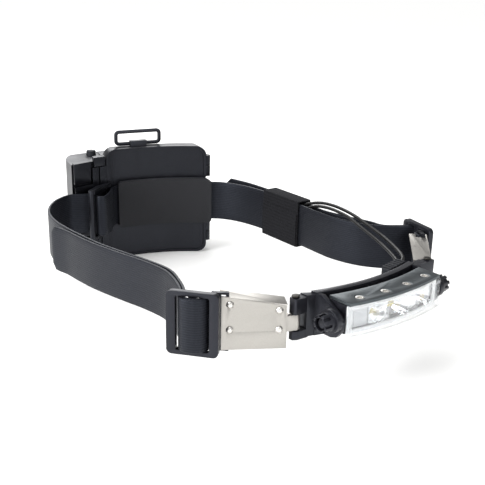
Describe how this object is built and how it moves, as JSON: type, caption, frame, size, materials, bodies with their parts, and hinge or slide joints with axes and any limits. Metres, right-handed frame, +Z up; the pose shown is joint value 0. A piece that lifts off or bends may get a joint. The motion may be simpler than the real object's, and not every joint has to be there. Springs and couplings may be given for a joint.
{
  "type": "miner's cap lamp",
  "caption": "Curved LED cap lamp on a webbing headband, with tilting lamp head, hinged steel side plates and a curved battery pack at the back.",
  "frame": {"origin": "middle of the head opening at the strap's middle height, on the lamp's middle plane", "axes": "+Z up, the lamp faces -Y, the battery pack is at +Y, +X is to the right as seen from the lamp's front looking along +Y"},
  "size_m": [0.1726, 0.2642, 0.0832],
  "materials": {
    "satin_black": "satin moulded nylon",
    "black_plastic": "fine-textured moulded nylon",
    "steel": "fine brushed stainless sheet",
    "dark_steel": "blackened steel pin",
    "grey_aluminium": "satin grey anodised",
    "lens": "clear polycarbonate, polished",
    "mirror": "vacuum-metallised plastic",
    "rubber": "matt moulded rubber",
    "board": "green solder mask",
    "led": "phosphor and silicone dome",
    "cell": "printed cell sleeve, plain",
    "brass": "nickel brass strip",
    "webbing": "woven nylon, fine lengthwise ribs",
    "loop": "brushed loop nylon",
    "sheath": "extruded lead sheath",
    "badge": "blank satin plate"
  },
  "bodies": {
    "headband": {"battery_cell_1": "cell", "battery_cell_2": "cell", "battery_cell_3": "cell", "battery_cell_4": "cell", "battery_tray": "black_plastic", "cable_wrap": "loop", "contact_strip_bottom": "brass", "contact_strip_top": "brass", "door_gasket": "rubber", "door_pin_lower": "dark_steel", "door_pin_upper": "dark_steel", "driver_board": "board", "electronics_bay": "black_plastic", "front_carrier": "satin_black", "head_strap": "webbing", "hinge_pin_left": "dark_steel", "hinge_pin_right": "dark_steel", "latch_pin": "dark_steel", "lead_boot": "rubber", "lead_gland": "rubber", "lead_lower": "sheath", "lead_upper": "sheath", "pack_panel": "black_plastic", "plate_liner_left": "black_plastic", "plate_liner_right": "black_plastic", "plate_rivet_left_1": "steel", "plate_rivet_left_2": "steel", "plate_rivet_left_3": "steel", "plate_rivet_left_4": "steel", "plate_rivet_right_1": "steel", "plate_rivet_right_2": "steel", "plate_rivet_right_3": "steel", "plate_rivet_right_4": "steel", "side_plate_left": "steel", "side_plate_right": "steel", "strap_buckle_left": "satin_black", "strap_buckle_right": "satin_black", "strap_sleeve": "webbing"},
    "lamp_head": {"lamp_housing": "satin_black", "lamp_top_plate": "grey_aluminium", "lamp_lens": "lens", "lens_gasket": "rubber", "reflector": "mirror", "led_board": "board", "led_1": "led", "led_2": "led", "led_3": "led", "blank_badge_plate": "badge", "top_plate_screw_1": "steel", "top_plate_screw_2": "steel", "top_plate_screw_3": "steel", "top_plate_screw_4": "steel", "tilt_bolt_left": "dark_steel", "tilt_bolt_right": "dark_steel"},
    "knob_left": {"tilt_knob_left": "satin_black"},
    "knob_right": {"tilt_knob_right": "satin_black"},
    "door": {"battery_door": "black_plastic"},
    "latch": {"door_latch": "satin_black"},
    "ring": {"top_strap_ring": "satin_black"},
    "button": {"power_button": "rubber"}
  },
  "joints": [
    {"name": "lamp_tilt", "type": "hinge", "parent": "headband", "child": "lamp_head", "pos_m": [0, -0.0989, 0.0033], "axis": [1, 0, 0], "range_deg": [0, 45]},
    {"name": "knob_left_turn", "type": "hinge", "parent": "headband", "child": "knob_left", "pos_m": [-0.0377, -0.0989, 0.0033], "axis": [1, 0, 0], "range_deg": [-90, 90]},
    {"name": "knob_right_turn", "type": "hinge", "parent": "headband", "child": "knob_right", "pos_m": [0.0377, -0.0989, 0.0033], "axis": [1, 0, 0], "range_deg": [-90, 90]},
    {"name": "battery_door_swing", "type": "hinge", "parent": "headband", "child": "door", "pos_m": [0.04521, 0.10222, 0], "axis": [0, 0, -1], "range_deg": [0, 80]},
    {"name": "latch_turn", "type": "hinge", "parent": "headband", "child": "latch", "pos_m": [-0.02161, 0.15187, 0], "axis": [0, 0, 1], "range_deg": [0, 60]},
    {"name": "top_ring_fold", "type": "hinge", "parent": "headband", "child": "ring", "pos_m": [0.00546, 0.12426, 0.0379], "axis": [0.9659, -0.2588, 0], "range_deg": [-75, 75]},
    {"name": "power_button_press", "type": "slide", "parent": "headband", "child": "button", "axis": [0, 0, -1], "range_m": [0, 0.001], "stiffness_N_per_m": 300}
  ]
}
